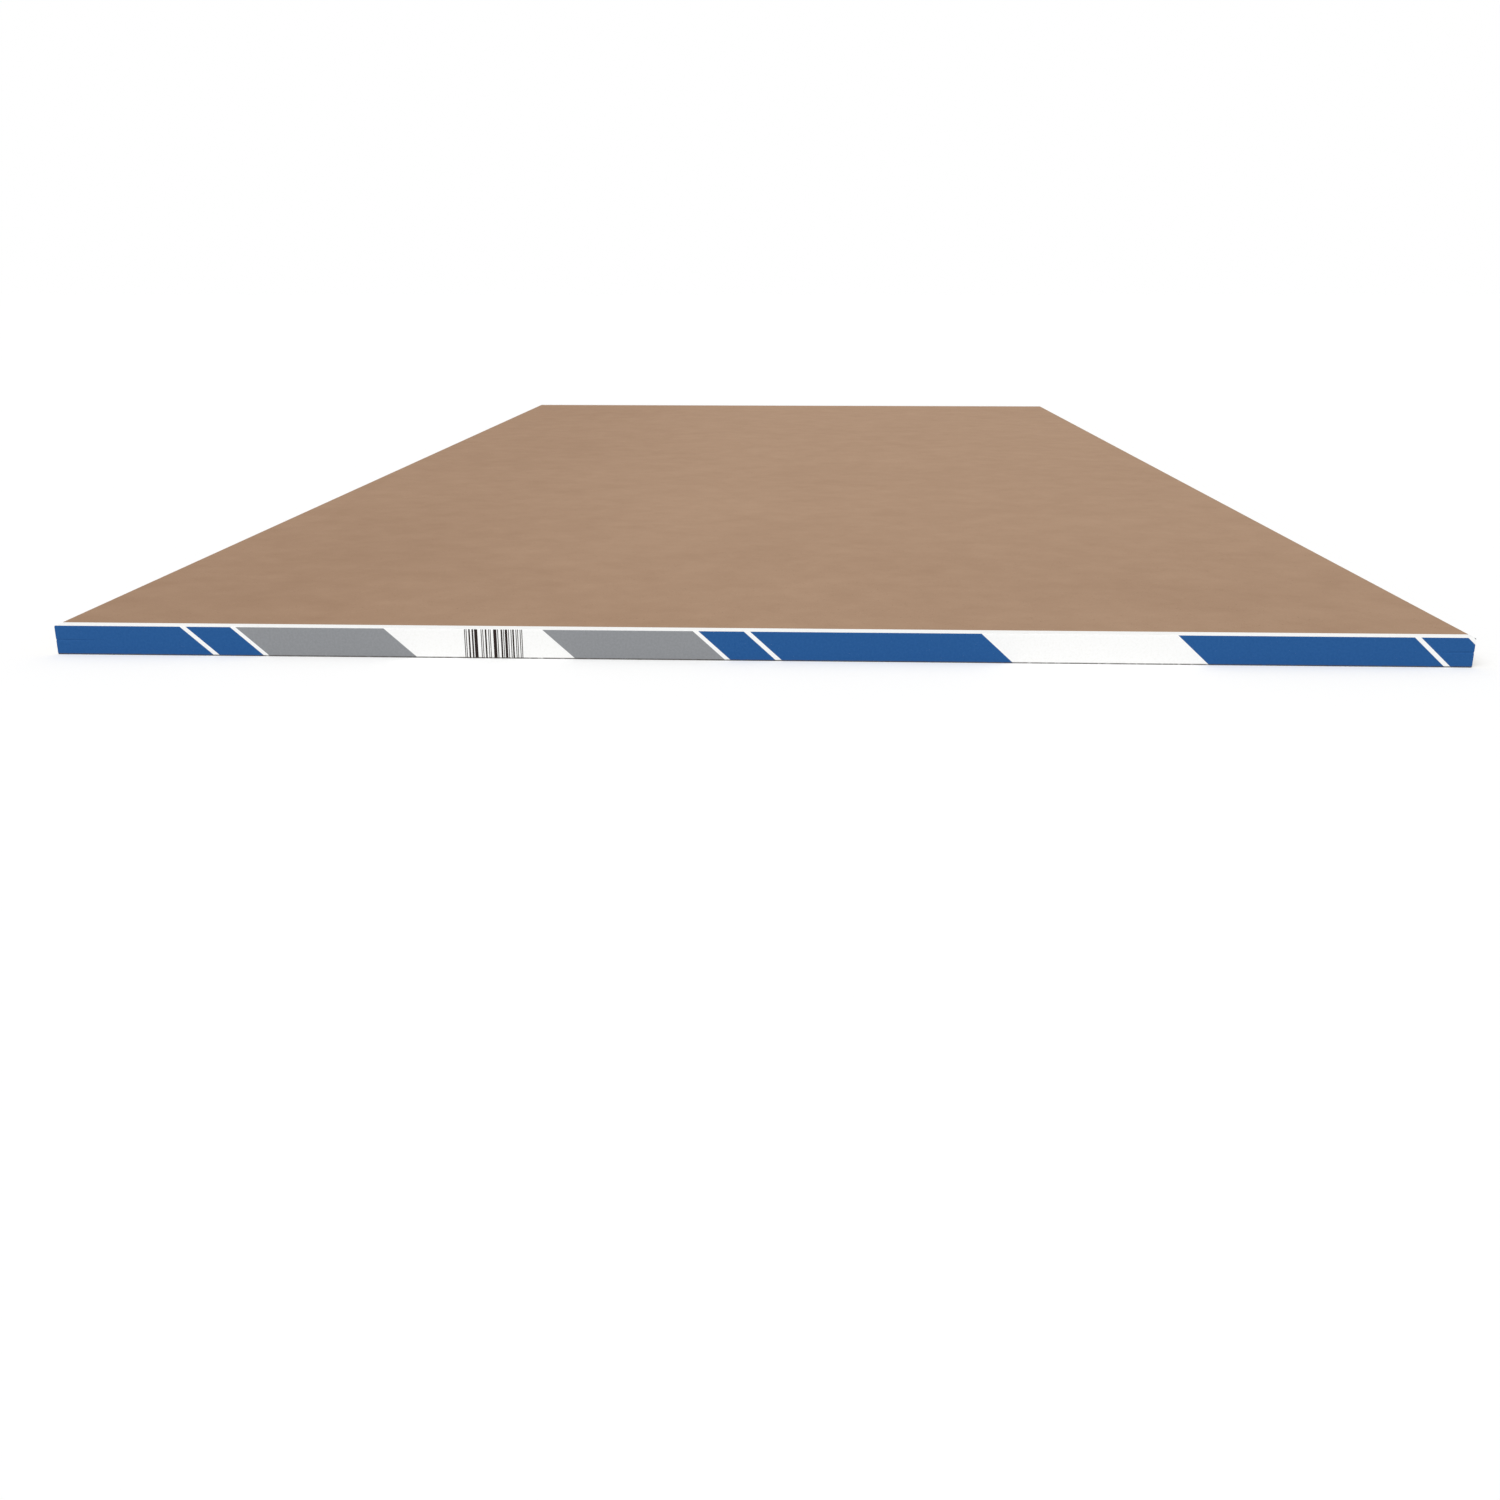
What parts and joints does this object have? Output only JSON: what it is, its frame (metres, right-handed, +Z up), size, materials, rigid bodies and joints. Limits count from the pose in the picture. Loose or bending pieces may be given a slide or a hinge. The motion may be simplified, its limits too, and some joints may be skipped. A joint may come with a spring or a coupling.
{
  "type": "drywall sheet",
  "caption": "Pair of gypsum wallboard sheets with tapered long edges, packed face to face and bound at each end by folded printed paper tape.",
  "frame": {"origin": "under the middle of the pack, on the plane that it rests on", "axes": "+X across the width, +Y along the length towards the far end, +Z up"},
  "size_m": [1.2166, 2.4362, 0.0258],
  "materials": {
    "board": "matte brown back paper over a gypsum core",
    "tape": "satin white paper with slanted printed bands"
  },
  "bodies": {
    "root": {"lower_sheet": "board", "upper_sheet": "board", "near_end_tape": "tape", "far_end_tape": "tape"}
  },
  "joints": []
}
